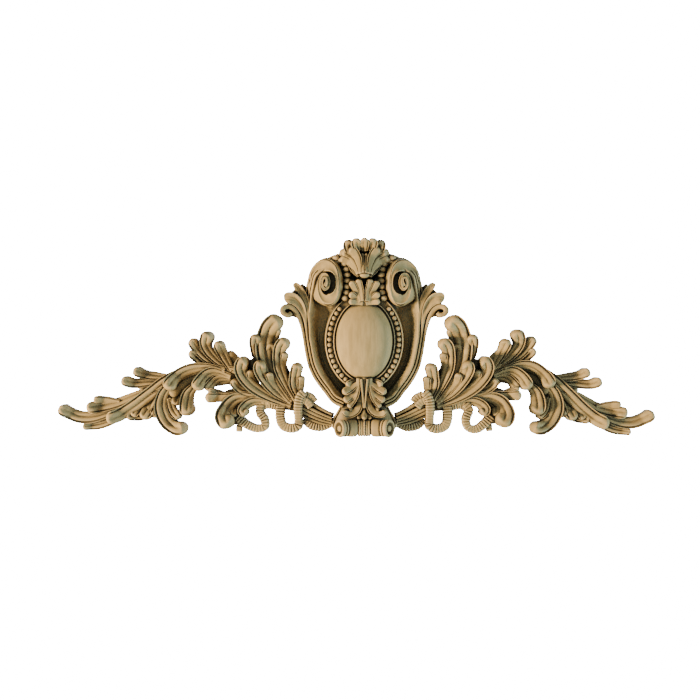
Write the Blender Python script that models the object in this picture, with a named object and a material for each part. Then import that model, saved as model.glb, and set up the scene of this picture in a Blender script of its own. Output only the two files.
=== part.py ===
"""A carved wooden cartouche for fixing flat on a wall, over a door or a panel: a shield with a plain
oval boss, two volutes and an acanthus crest over a rolled base, and a leafy spray butted to each side.

The wall is the plane y = 0 and the carving faces -Y. The origin is on the wall behind the boss. A rise
is a height over the wall."""

from math import atan2, cos, hypot, pi, radians, sin, sqrt

import bmesh
import bpy
from mathutils import Matrix, Vector

MM = 0.001

# Sawn back and joints
SINK_SHARE = 0.16  # every shape starts this share of its rise behind the wall plane, and is then sawn flush
STOCK = 60 * MM  # thickness of the block that saws the back
JOINT_GAP = 0.3 * MM  # between the rolled base and the butt end of a spray
LEAST_STEP = 0.4 * MM  # between two sections on the inside of a tight bend
FLAT_ANGLE = radians(0.5)  # facets closer than this to one plane are made one

# Oval boss
BOSS_HALF_WIDTH = 41.5 * MM
BOSS_HALF_HEIGHT = 55.5 * MM
BOSS_EDGE_RISE = 38 * MM
BOSS_CROWN = 16 * MM

# Beaded frame round the boss, measured outwards from the boss's edge
BEAD_DIAMETER = 7.5 * MM
BEAD_PITCH = 8.9 * MM
BEAD_LINE = 10 * MM
CHANNEL_RISE = 28 * MM
RIM_WIDTH = 3.5 * MM
RIM_RISE = 32 * MM
FRAME_SLOPE = 7 * MM
BEADS_FROM = radians(-58)
BEADS_TO = radians(46)

# Shield panel with its moulded border
PANEL_HALF_WIDTH = 92.5 * MM
PANEL_TOP = 124 * MM
PANEL_BOTTOM = 102 * MM
FIELD_RISE = 9 * MM
SHOULDER_RISE = 28 * MM
PANEL_SIDES = 28
# Half of the panel's outline, as shares of its half width and of its height above or below the boss
PANEL_OUTLINE = [
    (0.00, -1.00),
    (0.43, -0.95),
    (0.67, -0.72),
    (0.82, -0.53),
    (0.92, -0.30),
    (1.00, 0.12),
    (1.00, 0.36),
    (0.91, 0.73),
    (0.80, 0.89),
    (0.40, 1.02),
    (0.00, 1.02),
]
# The border's profile from its outer edge: distance inwards and rise, over three ribs
BORDER = [
    (0.0 * MM, 15 * MM),
    (4.0 * MM, 19 * MM),
    (7.0 * MM, 15 * MM),
    (11.0 * MM, 24 * MM),
    (17.5 * MM, 20 * MM),
]

# Ears: each rib of the border flares out at the panel's side
EAR_REACH = 30 * MM
EAR_HEIGHT = 75 * MM
EAR_RISE = 34 * MM
EAR_FOOT = radians(6)
# Distance of each band in from the panel's edge, its width, and its course as shares of the ear's size
EAR_BANDS = [
    (4.0 * MM, 11 * MM, [(0, 0), (0.14, 0.27), (0.47, 0.50), (0.84, 0.58), (1.01, 0.47), (0.88, 0.37)]),
    (10.5 * MM, 23 * MM, [(0, 0), (0.18, 0.36), (0.52, 0.64), (1.08, 0.79)]),
    (17.0 * MM, 15 * MM, [(0, 0), (0.14, 0.36), (0.42, 0.70), (0.88, 0.97)]),
]

# Volutes
VOLUTE_ACROSS = 50 * MM
VOLUTE_UP = 88 * MM
VOLUTE_HALF_WIDTH = 21 * MM
VOLUTE_HALF_HEIGHT = 37 * MM
VOLUTE_RISE = 52 * MM
VOLUTE_FLOOR = 36 * MM
# The scrolled band's centre line and half width, as shares of the volute's half sizes about its centre
VOLUTE_BAND = [
    (-0.02, -0.72, 0.40),
    (-0.46, -0.46, 0.36),
    (-0.62, 0.05, 0.30),
    (-0.36, 0.50, 0.36),
    (0.20, 0.68, 0.44),
    (0.60, 0.46, 0.38),
    (0.72, 0.05, 0.28),
    (0.60, -0.26, 0.26),
    (0.33, -0.36, 0.25),
    (0.12, -0.12, 0.17),
    (0.14, 0.16, 0.17),
    (0.36, 0.25, 0.16),
    (0.48, 0.05, 0.14),
]
TOOTH_COUNT = 7
TOOTH_DIAMETER = 8.5 * MM

# Leaves are drawn on squares. A finger is the points of its centre line, its width at root, belly and
# tip, and its rise at root and tip as shares of the whole leaf's rise.

# Acanthus crest, up from the root
CREST_ROOT = 94 * MM
CREST_HEIGHT = 60 * MM
CREST_SQUARES = 60
CREST_RISE = 64 * MM
CREST_SPINE = ([(0, -10), (0, 18), (0, 52)], (36, 58, 48), (0.52, 0.66))
CREST_MIDDLE = ([(0, 0), (0, 30), (0, 56)], (7, 10, 14), (0.74, 1.00))
CREST_FINGERS = [
    ([(5, 1), (9, 30), (18, 56)], (6, 10, 14), (0.72, 0.97)),
    ([(8, 3), (19, 32), (30, 48)], (6, 10, 14), (0.68, 0.93)),
    ([(10, 5), (20, 22), (36, 36)], (6, 10, 14), (0.62, 0.84)),
]
BUD_DIAMETER = 14 * MM

# Palmette between the volutes, up from the boss
PALMETTE_ROOT = 56 * MM
PALMETTE_HEIGHT = 38 * MM
PALMETTE_SQUARES = 38
PALMETTE_RISE = 49 * MM
PALMETTE_FINGERS = [
    ([(2, 2), (4, 16), (6, 35)], (5, 9, 9), (0.88, 1.00)),
    ([(5, 0), (13, 14), (21, 32)], (5, 9, 9), (0.84, 0.96)),
    ([(7, -2), (16, 5), (24, 10)], (5, 8, 8), (0.80, 0.90)),
]

# Apron of two leaves that hang from the boss
APRON_ROOT = -54 * MM
APRON_DROP = 60 * MM
APRON_SQUARES = 60
APRON_RISE = 42 * MM
APRON_SPINE = ([(0, 6), (0, -26), (0, -58)], (52, 60, 58), (0.58, 0.62))
APRON_FINGERS = [
    ([(8, -1), (5, -24), (9, -43), (20, -56)], (8, 10, 10), (0.98, 0.86)),
    ([(10, -4), (22, -6), (33, -14)], (6, 11, 11), (0.90, 0.98)),
    ([(9, -12), (22, -19), (36, -28)], (6, 11, 11), (0.88, 0.96)),
    ([(9, -24), (20, -33), (33, -41)], (6, 11, 11), (0.86, 0.92)),
]

# Neck and rolled base
NECK_TOP = -92 * MM
NECK_TOP_HALF_WIDTH = 38 * MM
NECK_RISE = 26 * MM
BASE_HALF_WIDTH = 48 * MM
BASE_RADIUS = 13.5 * MM
BASE_HEIGHT = -129 * MM
BASE_MIDDLE_RISE = 26 * MM  # of the roll's axis
BASE_END_RISE = 40 * MM
BASE_SWING = radians(62)  # the turn of the axis from the middle to an end
BASE_SIDES = 10
# Bands along each half of the roll: share of the half's length and share of the radius
BASE_BANDS = [(0.00, 0.94), (0.30, 0.80), (0.40, 1.00), (0.62, 1.00), (0.70, 0.84), (0.78, 1.00), (1.00, 1.00)]
EYE_DIAMETER = 16 * MM
EYE_DEPTH = 3 * MM

# Sprays, drawn on squares counted out from the butt joint and up from the roll's axis
SPRAY_LENGTH = 396 * MM
SPRAY_SQUARES = 264
SPRAY_RISE = 34 * MM
SPRAY_REACH = {1: 0.97, -1: 1.03}  # the right spray was carved a little shorter than the left
SPRAY_FALL = {1: 0.008, -1: -0.014}  # how far each spray was set below the level line, per length
STALKS = [
    ([(-3, 9.5), (12, 16), (34, 30)], (6, 8, 8), (0.62, 0.66)),
    ([(-3, 7.5), (14, 12.5), (36, 23)], (6, 8, 8), (0.68, 0.70)),
    ([(-3, 4), (14, 8), (38, 16)], (6, 8, 8), (0.60, 0.64)),
]
INNER_LEAVES = [
    ([(31, 26), (37, 43), (34, 62)], (10, 15, 15), (0.56, 0.84)),
    ([(38, 26), (50, 50), (54, 72), (46, 85)], (8, 16, 15), (0.56, 0.90)),
    ([(42, 25), (60, 52), (62, 84)], (10, 26, 16), (0.46, 0.54)),
    ([(46, 27), (66, 54), (73, 88), (52, 108)], (8, 16, 17), (0.60, 1.00)),
    ([(66, 54), (76, 72), (75, 86)], (8, 13, 12), (0.66, 0.86)),
    ([(42, 24), (62, 42), (67, 62)], (8, 15, 13), (0.62, 0.98)),
    ([(42, 21), (68, 34), (89, 53), (83, 66)], (8, 16, 14), (0.60, 1.00)),
    ([(73, 31), (90, 38), (99, 48)], (9, 13, 10), (0.54, 0.72)),
    ([(46, 20), (84, 32), (120, 34)], (6, 12, 17), (0.60, 0.62)),
    ([(72, 27), (97, 28), (109, 15), (104, 3)], (8, 18, 17), (0.56, 0.90)),
    ([(56, 20), (80, 23), (88, 14)], (7, 12, 10), (0.54, 0.72)),
]
OUTER_LEAVES = [
    ([(97, 57), (105, 74), (108, 87)], (8, 13, 12), (0.50, 0.66)),
    ([(100, 58), (120, 77), (119, 96)], (6, 13, 14), (0.48, 0.76)),
    ([(104, 58), (125, 71), (137, 88)], (6, 12, 10), (0.46, 0.64)),
    ([(110, 58), (128, 64), (141, 76)], (6, 11, 8), (0.42, 0.56)),
    ([(94, 55), (134, 59), (171, 35), (216, 4)], (10, 18, 14), (0.50, 0.62)),
    ([(158, 48), (176, 49), (194, 56)], (8, 11, 10), (0.42, 0.58)),
    ([(160, 42), (184, 42), (206, 46)], (10, 12, 10), (0.38, 0.54)),
    ([(166, 40), (199, 27), (236, 20)], (10, 15, 10), (0.46, 0.52)),
    ([(206, 12), (236, 4), (262, 17)], (10, 14, 11), (0.44, 0.56)),
    ([(168, 38), (174, 22), (180, 8)], (14, 18, 12), (0.36, 0.48)),
    ([(151, 44), (161, 24), (156, 3), (136, -1)], (14, 18, 13), (0.52, 0.74)),
    ([(110, 57), (140, 60), (156, 38)], (8, 15, 14), (0.54, 0.80)),
    ([(120, 46), (140, 36), (141, 16)], (12, 17, 15), (0.50, 0.70)),
    ([(96, 48), (116, 54), (132, 40)], (10, 17, 14), (0.50, 0.76)),
]
# The ribbon crosses the stalks as a tie, and hangs from it in two loops with short tails
TIE = [(24, 35), (30, 24), (30, 6)]
TIE_WIDTH = 13 * MM
TIE_RISE = 28 * MM
KNOT = (21, 33)
KNOT_DIAMETER = 15 * MM
RIBBON_WIDTH = 11 * MM
RIBBONS = [
    ([(1, 3), (13, -1), (29, 9)], 15 * MM),
    ([(30, 10), (34, 0), (46, 1), (52, 20)], 17 * MM),
    ([(48, 17), (61, 25), (74, 18)], 15.5 * MM),
    ([(70, 20), (67, 3), (77, -2), (94, 9)], 17.5 * MM),
    ([(87, 5), (91, 1), (94, -3)], 14 * MM),
]

LONGEST_STRETCH = 120 * MM  # of a leaf finger between two of its sections

# Cross-sections: across as a share of the half width, and up as a share of the rise, None at the foot
GOUGED = [(-1.00, None), (-0.62, 0.78), (0.62, 1.00), (1.00, None)]
ROUNDED = [(-1.00, None), (-0.56, 1.00), (0.56, 1.00), (1.00, None)]
FLAT = [(-1.00, None), (-0.88, 1.00), (0.88, 1.00), (1.00, None)]

WOOD_COLOUR = (0.55, 0.40, 0.24, 1.0)
WOOD_ROUGHNESS = 0.6


def curve_point(points, t):
    """The point at t, from 0 to 1, on a smooth curve through the points."""
    span = t * (len(points) - 1)
    i = min(int(span), len(points) - 2)
    f = span - i
    a, b = points[i], points[i + 1]
    before = points[i - 1] if i else 2 * a - b
    after = points[i + 2] if i + 2 < len(points) else 2 * b - a
    pull = (b - before) * f + (2 * before - 5 * a + 4 * b - after) * f**2 + (3 * a - before - 3 * b + after) * f**3
    return a + 0.5 * pull


def loft(bm, rings):
    """A closed skin: the first ring's edge is extruded from ring to ring, and both ends are capped."""
    loop = [bm.verts.new(p) for p in rings[0]]
    bm.faces.new(loop)
    for ring in rings[1:]:
        edges = [bm.edges.get((loop[i], loop[i - 1])) for i in range(len(loop))]
        made = bmesh.ops.extrude_edge_only(bm, edges=edges)["geom"]
        fresh = {v for v in made if isinstance(v, bmesh.types.BMVert)}
        loop = [next(e.other_vert(v) for e in v.link_edges if e.other_vert(v) in fresh) for v in loop]
        for v, p in zip(loop, ring):
            v.co = p
    bm.faces.new(loop)


def add_section(rings, point, direction, half_width, rise, section, bow):
    """Adds a cross-section that stands on the wall plane across the direction. On the inside of a tight
    bend its points are held just ahead of the section before."""
    across = Vector((direction.y, -direction.x)) * bow
    forward = Vector((direction.x, 0, direction.y))
    ring = []
    for k, (share, up) in enumerate(section):
        flat = point + across * share * half_width
        place = Vector((flat.x, rise * SINK_SHARE if up is None else -rise * up, flat.y))
        if rings:
            step = forward.dot(place - rings[-1][k])
            place += forward * max(0, LEAST_STEP - step)
        ring.append(place)
    rings.append(ring)


def heading(points, t):
    """Unit direction of the smooth curve at t."""
    return (curve_point(points, min(t + 0.01, 1)) - curve_point(points, max(t - 0.01, 0))).normalized()


def finger(bm, points, widths, rises, section):
    """A leaf finger: widest at its belly, with its rim on the outside of the bend and a round end."""
    first, last = points[1] - points[0], points[-1] - points[-2]
    turn = first.x * last.y - first.y * last.x
    length = sum((b - a).length for a, b in zip(points, points[1:]))
    count = 3 + round(abs(atan2(turn, first.dot(last))) / radians(50)) + round(length / LONGEST_STRETCH)
    end = min(widths[2] * 0.5 / length, 0.4)
    rings = []
    for s in [k / (count - 1) * (1 - end) for k in range(count)] + [1.0]:
        swell = widths[0] + (widths[1] - widths[0]) * sin(min(s / 0.55, 1) * pi / 2)
        width = swell + (widths[2] - widths[1]) * max(0, (s - 0.55) / 0.45)
        rise = rises[0] + (rises[1] - rises[0]) * s
        if s == 1.0:
            width, rise = width * 0.45, rise * 0.6
        bow = 1.0 if turn >= 0 else -1.0
        add_section(rings, curve_point(points, s), heading(points, s), width / 2, rise, section, bow)
    loft(bm, rings)


def strap(bm, points, half_widths, rises, section, count):
    """A plain strap of one section, swept along the points with a half width and a rise at each of them."""
    sized = [Vector((*p, w, r)) for p, w, r in zip(points, half_widths, rises)]
    rings = []
    for k in range(count):
        t = k / (count - 1)
        here = curve_point(sized, t)
        direction = heading([p.xy for p in sized], t)
        add_section(rings, here.xy, direction, here.z, here.w, section, 1.0)
    loft(bm, rings)


def bead(bm, x, rise, z, diameter):
    """A bead with few sides whose top stands at the rise, sunk by its own radius."""
    upright = Matrix.Translation((x, diameter / 2 - rise, z)) @ Matrix.Rotation(radians(90), 4, "X")
    bmesh.ops.create_cone(
        bm, cap_ends=True, segments=5, radius1=diameter * 0.56, radius2=diameter * 0.28, depth=diameter, matrix=upright
    )


def leaf(bm, fingers, place, square, rise, side, section):
    """The fingers of one leaf. Its squares are turned to metres by the place function."""
    for points, widths, rises in fingers:
        placed = [Vector(place(x * side, z)) for x, z in points]
        finger(bm, placed, [w * square for w in widths], [r * rise for r in rises], section)


def boss_radius(angle):
    """Distance from the boss's centre to its edge along the angle."""
    return 1 / hypot(cos(angle) / BOSS_HALF_WIDTH, sin(angle) / BOSS_HALF_HEIGHT)


def panel_radius(angle):
    """Distance from the boss's centre to the panel's outline along the angle."""
    angle = atan2(sin(angle), abs(cos(angle)))
    points = [Vector((x * PANEL_HALF_WIDTH, z * (PANEL_TOP if z > 0 else PANEL_BOTTOM))) for x, z in PANEL_OUTLINE]
    fine = [curve_point(points, k / 120) for k in range(121)]
    for a, b in zip(fine, fine[1:]):
        low, high = atan2(a.y, a.x), atan2(b.y, b.x)
        if low <= angle <= high:
            return a.lerp(b, (angle - low) / max(high - low, 1e-9)).length
    return fine[-1].length if angle > 0 else fine[0].length


def shoulder(angle):
    """Rise of the panel's ground: the field's at the sides, swelling behind the volutes at the top."""
    lift = min(max((sin(angle) - 0.62) / 0.2, 0), 1)
    return FIELD_RISE + (SHOULDER_RISE - FIELD_RISE) * lift * lift * (3 - 2 * lift)


def panel_and_boss(bm):
    """Shield panel, moulded border, beaded frame and oval boss in one form, from rings about the boss."""
    angles = [2 * pi * (k + 0.5) / PANEL_SIDES for k in range(PANEL_SIDES)]
    rings = []

    def ring(distance, rise):
        reach = [(a, distance(a), rise(a)) for a in angles]
        rings.append([Vector((r * cos(a), -up, r * sin(a))) for a, r, up in reach])

    def around_boss(offset):
        return lambda a: min(boss_radius(a) + offset, panel_radius(a) - BORDER[-1][0] - LEAST_STEP)

    frame = BEAD_LINE + BEAD_DIAMETER / 2
    ring(panel_radius, lambda a: -SINK_SHARE * FIELD_RISE)
    for inset, rise in BORDER:
        swell = sqrt(inset / BORDER[-1][0])
        ring(lambda a: panel_radius(a) - inset, lambda a: rise + (shoulder(a) - FIELD_RISE) * swell)
    ring(around_boss(frame + RIM_WIDTH + FRAME_SLOPE), shoulder)
    ring(around_boss(frame + RIM_WIDTH), lambda a: RIM_RISE)
    ring(around_boss(frame), lambda a: CHANNEL_RISE)
    ring(around_boss(LEAST_STEP), lambda a: CHANNEL_RISE)
    for share, crown in ((1.0, 0), (0.82, 0.66), (0.42, 1.0)):
        ring(lambda a: boss_radius(a) * share, lambda a: BOSS_EDGE_RISE + BOSS_CROWN * crown)
    loft(bm, rings)


def bead_row(bm, side):
    """Beads at an even pitch up one side of the boss's frame."""
    across, up = BOSS_HALF_WIDTH + BEAD_LINE, BOSS_HALF_HEIGHT + BEAD_LINE
    angle, top = BEADS_FROM, CHANNEL_RISE + 0.6 * BEAD_DIAMETER
    while angle < BEADS_TO:
        bead(bm, side * across * cos(angle), top, up * sin(angle), BEAD_DIAMETER)
        angle += BEAD_PITCH / hypot(across * sin(angle), up * cos(angle))


def ear(bm, side):
    """Three bands that leave the border's ribs and flare out at the panel's side."""
    for (inset, width, course), (_, foot_rise) in zip(EAR_BANDS, (BORDER[1], BORDER[3], BORDER[4])):
        r = panel_radius(EAR_FOOT) - inset
        points = [
            (side * (r * cos(EAR_FOOT) + x * EAR_REACH), r * sin(EAR_FOOT) + z * EAR_HEIGHT) for x, z in course
        ]
        count = len(points)
        widths = [width / 2 * min(1, 0.6 + 0.2 * k) for k in range(count)]
        rises = [foot_rise + (EAR_RISE - foot_rise) * min(1, 0.4 * k) for k in range(count)]
        strap(bm, points, widths, rises, ROUNDED, count + 1)


def volute(bm, side):
    """A drum with the scrolled band standing on it, and a row of teeth down its inner flank."""
    turns = [2 * pi * (k + 0.5) / 12 for k in range(12)]
    across = [side * (VOLUTE_ACROSS + cos(a) * VOLUTE_HALF_WIDTH) for a in turns]
    up = [VOLUTE_UP + sin(a) * VOLUTE_HALF_HEIGHT for a in turns]
    loft(bm, [[Vector((x, -rise, z)) for x, z in zip(across, up)] for rise in (-SINK_SHARE * VOLUTE_FLOOR, VOLUTE_FLOOR)])
    points = [
        (side * (VOLUTE_ACROSS + x * VOLUTE_HALF_WIDTH), VOLUTE_UP + z * VOLUTE_HALF_HEIGHT) for x, z, _ in VOLUTE_BAND
    ]
    half_widths = [w * VOLUTE_HALF_WIDTH for _, _, w in VOLUTE_BAND]
    rises = [VOLUTE_RISE * (0.94 + 0.008 * k) for k in range(len(points))]
    strap(bm, points, half_widths, rises, FLAT, 17)
    for k in range(TOOTH_COUNT):
        a = radians(112 + 136 * k / (TOOTH_COUNT - 1))
        x = VOLUTE_ACROSS + cos(a) * (VOLUTE_HALF_WIDTH + TOOTH_DIAMETER * 0.15)
        bead(bm, side * x, VOLUTE_FLOOR + TOOTH_DIAMETER * 0.6, VOLUTE_UP + sin(a) * VOLUTE_HALF_HEIGHT * 0.92, TOOTH_DIAMETER)


def crest(bm):
    square = CREST_HEIGHT / CREST_SQUARES

    def place(x, z):
        return x * square, CREST_ROOT + z * square

    leaf(bm, [CREST_SPINE], place, square, CREST_RISE, 1, FLAT)
    leaf(bm, [CREST_MIDDLE], place, square, CREST_RISE, 1, GOUGED)
    bead(bm, 0, CREST_RISE * 0.88, CREST_ROOT, BUD_DIAMETER)
    for side in (1, -1):
        leaf(bm, CREST_FINGERS, place, square, CREST_RISE, side, GOUGED)


def palmette(bm, side):
    square = PALMETTE_HEIGHT / PALMETTE_SQUARES

    def place(x, z):
        return x * square, PALMETTE_ROOT + z * square

    leaf(bm, PALMETTE_FINGERS, place, square, PALMETTE_RISE, side, GOUGED)


def apron(bm):
    square = APRON_DROP / APRON_SQUARES

    def place(x, z):
        return x * square, APRON_ROOT + z * square

    leaf(bm, [APRON_SPINE], place, square, APRON_RISE, 1, FLAT)
    for side in (1, -1):
        leaf(bm, APRON_FINGERS, place, square, APRON_RISE, side, GOUGED)


def neck(bm):
    """The flared slab between the apron and the rolled base."""
    low, high = BASE_HALF_WIDTH - 2 * LEAST_STEP, NECK_TOP_HALF_WIDTH
    corners = [(low, BASE_HEIGHT), (-low, BASE_HEIGHT), (-high, NECK_TOP), (high, NECK_TOP)]
    loft(bm, [[Vector((x, y, z)) for x, z in corners] for y in (SINK_SHARE * NECK_RISE, -NECK_RISE)])


def rolled_base(bm):
    """A roll that bows forward from the middle to a round eye at each end."""
    reach = BASE_HALF_WIDTH - BASE_RADIUS * cos(BASE_SWING)
    half = []
    for share, radius in BASE_BANDS:
        swing = share * BASE_SWING
        forward = (1 - cos(swing)) / (1 - cos(BASE_SWING))
        rise = BASE_MIDDLE_RISE + (BASE_END_RISE - BASE_MIDDLE_RISE) * forward
        half.append((reach * sin(swing) / sin(BASE_SWING), rise, swing * 0.8, radius * BASE_RADIUS))
    x, rise, tilt, _ = half[-1]
    half.append((x, rise, tilt, EYE_DIAMETER / 2))
    half.append((x - EYE_DEPTH * cos(tilt), rise - EYE_DEPTH * sin(tilt), tilt, EYE_DIAMETER / 2 - LEAST_STEP))
    rings = []
    for x, rise, tilt, radius in [(-x, rise, -tilt, r) for x, rise, tilt, r in reversed(half)] + half[1:]:
        turns = [2 * pi * (k + 0.5) / BASE_SIDES for k in range(BASE_SIDES)]
        spokes = [(cos(a) * radius, sin(a) * radius) for a in turns]
        rings.append([Vector((x - out * sin(tilt), -rise - out * cos(tilt), BASE_HEIGHT + up)) for out, up in spokes])
    loft(bm, rings)


def spray(bm, side):
    """One leafy spray with its ribbon: side is 1 on the right and -1 on the left."""
    square = SPRAY_LENGTH / SPRAY_SQUARES

    def place(x, z):
        level = BASE_HEIGHT - SPRAY_FALL[side] * abs(x) * square
        return side * (BASE_HALF_WIDTH + JOINT_GAP) + x * square * SPRAY_REACH[side], level + z * square

    leaf(bm, STALKS + INNER_LEAVES + OUTER_LEAVES, place, square, SPRAY_RISE, side, GOUGED)
    for points, width, rise in [(TIE, TIE_WIDTH, TIE_RISE)] + [(p, RIBBON_WIDTH, r) for p, r in RIBBONS]:
        count = len(points)
        placed = [place(side * x, z) for x, z in points]
        strap(bm, placed, [width / 2] * count, [rise] * count, ROUNDED, 2 * count - 1)
    x, z = place(side * KNOT[0], KNOT[1])
    bead(bm, x, TIE_RISE, z, KNOT_DIAMETER)


def wood():
    material = bpy.data.materials.new("carved_wood")
    material.use_nodes = True
    shader = material.node_tree.nodes["Principled BSDF"]
    shader.inputs["Base Color"].default_value = WOOD_COLOUR
    shader.inputs["Roughness"].default_value = WOOD_ROUGHNESS
    shader.inputs["Metallic"].default_value = 0.0
    return material


def add_object(name, bm):
    bmesh.ops.recalc_face_normals(bm, faces=bm.faces)
    bmesh.ops.connect_verts_nonplanar(bm, angle_limit=radians(0.5), faces=bm.faces)
    mesh = bpy.data.meshes.new(name)
    bm.to_mesh(mesh)
    bm.free()
    made = bpy.data.objects.new(name, mesh)
    bpy.context.scene.collection.objects.link(made)
    return made


def saw(name, low, high):
    """A box between two corners that only cuts."""
    bm = bmesh.new()
    corners = bmesh.ops.create_cube(bm, size=1)["verts"]
    bmesh.ops.scale(bm, verts=corners, vec=Vector(high) - Vector(low))
    bmesh.ops.translate(bm, verts=corners, vec=(Vector(low) + Vector(high)) / 2)
    block = add_object(name, bm)
    block.hide_render = True
    block.display_type = "WIRE"
    return block


def carve(name, bm, material, saws):
    """Fuses the overlapping shapes into one solid, and cuts it with the saws."""
    piece = add_object(name, bm)
    piece.data.materials.append(material)
    for block in saws:
        cut = piece.modifiers.new(block.name, "BOOLEAN")
        cut.operation = "DIFFERENCE"
        cut.solver = "EXACT"
        cut.use_self = True
        cut.object = block
    merge = piece.modifiers.new("merge_flat_facets", "DECIMATE")
    merge.decimate_type = "DISSOLVE"
    merge.angle_limit = FLAT_ANGLE


def main():
    for old in list(bpy.data.objects):
        bpy.data.objects.remove(old)
    material = wood()
    far = BASE_HALF_WIDTH + SPRAY_LENGTH + STOCK
    wall = saw("wall_saw", (-far, 0, -far), (far, STOCK, far))

    centre = bmesh.new()
    panel_and_boss(centre)
    neck(centre)
    rolled_base(centre)
    apron(centre)
    crest(centre)
    for side in (1, -1):
        bead_row(centre, side)
        ear(centre, side)
        volute(centre, side)
        palmette(centre, side)
    carve("shield", centre, material, [wall])

    joint = BASE_HALF_WIDTH + JOINT_GAP
    for name, side in (("right_spray", 1), ("left_spray", -1)):
        leaves = bmesh.new()
        spray(leaves, side)
        near, deep = sorted((side * joint, side * (joint - STOCK)))
        end = saw(name + "_butt_saw", (near, -STOCK, -far), (deep, STOCK, far))
        carve(name, leaves, material, [wall, end])


main()
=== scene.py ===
# %% [markdown]
# A carved cartouche. The object is a wall ornament in pale, unpainted wood: a shield with an oval boss
# between two leafy sprays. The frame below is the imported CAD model. Its back is the plane y = 0, the
# carving faces -Y, and the origin is behind the boss. Everything here is modelled in that frame.

# %% Load the frame
from math import atan2, cos, hypot, pi, radians, sin, sqrt

import bmesh
import bpy
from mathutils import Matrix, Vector


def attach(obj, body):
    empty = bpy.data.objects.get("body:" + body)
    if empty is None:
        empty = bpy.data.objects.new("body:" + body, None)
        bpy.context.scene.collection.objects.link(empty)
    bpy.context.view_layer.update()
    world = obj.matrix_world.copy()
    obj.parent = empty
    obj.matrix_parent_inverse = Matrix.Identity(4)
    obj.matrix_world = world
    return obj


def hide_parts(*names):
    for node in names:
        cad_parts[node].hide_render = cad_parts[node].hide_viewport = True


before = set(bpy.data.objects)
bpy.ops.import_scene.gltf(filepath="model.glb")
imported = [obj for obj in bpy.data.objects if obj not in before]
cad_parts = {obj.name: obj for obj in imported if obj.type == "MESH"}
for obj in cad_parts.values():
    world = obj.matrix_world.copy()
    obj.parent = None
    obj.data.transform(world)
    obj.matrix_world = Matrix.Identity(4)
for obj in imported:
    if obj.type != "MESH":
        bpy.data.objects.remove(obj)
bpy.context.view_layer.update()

MM = 0.001

# %% [markdown]
# Camera and light. The photo looks straight at the carving, so the camera stands in front of the boss.
# A 50 mm lens at 1.46 m makes one picture pixel 1.5 mm on the wall. The strongest lamp is warm and low on
# the left and a weaker, cool one is low on the right. Both stand only a little in front of the wall,
# because light that grazes a relief is what shows it. A faint lamp in front opens the deepest shadows.

# %% Camera
PIXEL = 1.5 * MM
PICTURE = 700
BOSS_IN_PICTURE = (364, 341)
LENS = 50
SENSOR = 36

camera = bpy.data.objects.new("camera", bpy.data.cameras.new("camera"))
bpy.context.scene.collection.objects.link(camera)
bpy.context.scene.camera = camera
camera.data.lens = LENS
camera.data.sensor_width = SENSOR
camera_distance = PICTURE * PIXEL * LENS / SENSOR
aside = (PICTURE / 2 - BOSS_IN_PICTURE[0]) * PIXEL
above = (BOSS_IN_PICTURE[1] - PICTURE / 2) * PIXEL
camera.location = (aside, -camera_distance, above)
camera.rotation_euler = (radians(90), 0, 0)
print("camera stands", round(camera_distance, 3), "m away")

# %% Lamps
WARM = (1.0, 0.70, 0.34)
COOL = (0.78, 1.0, 0.86)
FAINT_GREEN = (0.86, 1.0, 0.86)
NEARLY_WHITE = (1.0, 0.97, 0.92)


def lamp(name, place, width, height, power, colour):
    """A soft rectangular lamp that points at the boss."""
    light = bpy.data.lights.new(name, "AREA")
    light.shape = "RECTANGLE"
    light.size = width
    light.size_y = height
    light.energy = power
    light.color = colour
    stand = bpy.data.objects.new(name, light)
    stand.location = place
    stand.rotation_euler = (-Vector(place)).to_track_quat("-Z", "Y").to_euler()
    bpy.context.scene.collection.objects.link(stand)
    print(name, "lamp is", round(Vector(place).length, 2), "m from the boss, at", power, "W")


lamp("key", (-2.68, -1.30, -0.52), 0.8, 0.8, 255, WARM)
lamp("fill", (2.74, -0.82, -0.80), 1.2, 1.2, 78, COOL)
lamp("front", (-0.3, -2.4, 0.6), 1.2, 0.8, 4, FAINT_GREEN)
lamp("back", (0.6, 1.8, 0.9), 1.2, 0.8, 14, NEARLY_WHITE)

# %% [markdown]
# The carving is shown on white. A bright room would wash its shadows out, so the room and the floor
# shine white only where the camera looks at them. To every other ray the room is dim and the floor grey.

# %% White room
ROOM_LIGHT = 0.15
ROOM_COLOUR = (0.92, 1, 0.88, 1)
WHITE = (1, 1, 1, 1)
ROOM_SEEN = 30

world = bpy.data.worlds.new("white_room")
world.use_nodes = True
bpy.context.scene.world = world
nodes, links = world.node_tree.nodes, world.node_tree.links
dim = nodes["Background"]
dim.inputs["Color"].default_value = ROOM_COLOUR
dim.inputs["Strength"].default_value = ROOM_LIGHT
bright = nodes.new("ShaderNodeBackground")
bright.inputs["Color"].default_value = WHITE
bright.inputs["Strength"].default_value = ROOM_SEEN
rays = nodes.new("ShaderNodeLightPath")
pick = nodes.new("ShaderNodeMixShader")
links.new(rays.outputs["Is Camera Ray"], pick.inputs["Fac"])
links.new(dim.outputs["Background"], pick.inputs[1])
links.new(bright.outputs["Background"], pick.inputs[2])
links.new(pick.outputs["Shader"], nodes["World Output"].inputs["Surface"])
print("the room lights at", ROOM_LIGHT, "and is seen at", ROOM_SEEN)

# %% Floor
FLOOR_BELOW = 1.05
FLOOR_SIDE = 3.0
FLOOR_GREY = (0.45, 0.45, 0.445, 1)
FLOOR_SEEN = 25

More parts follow.
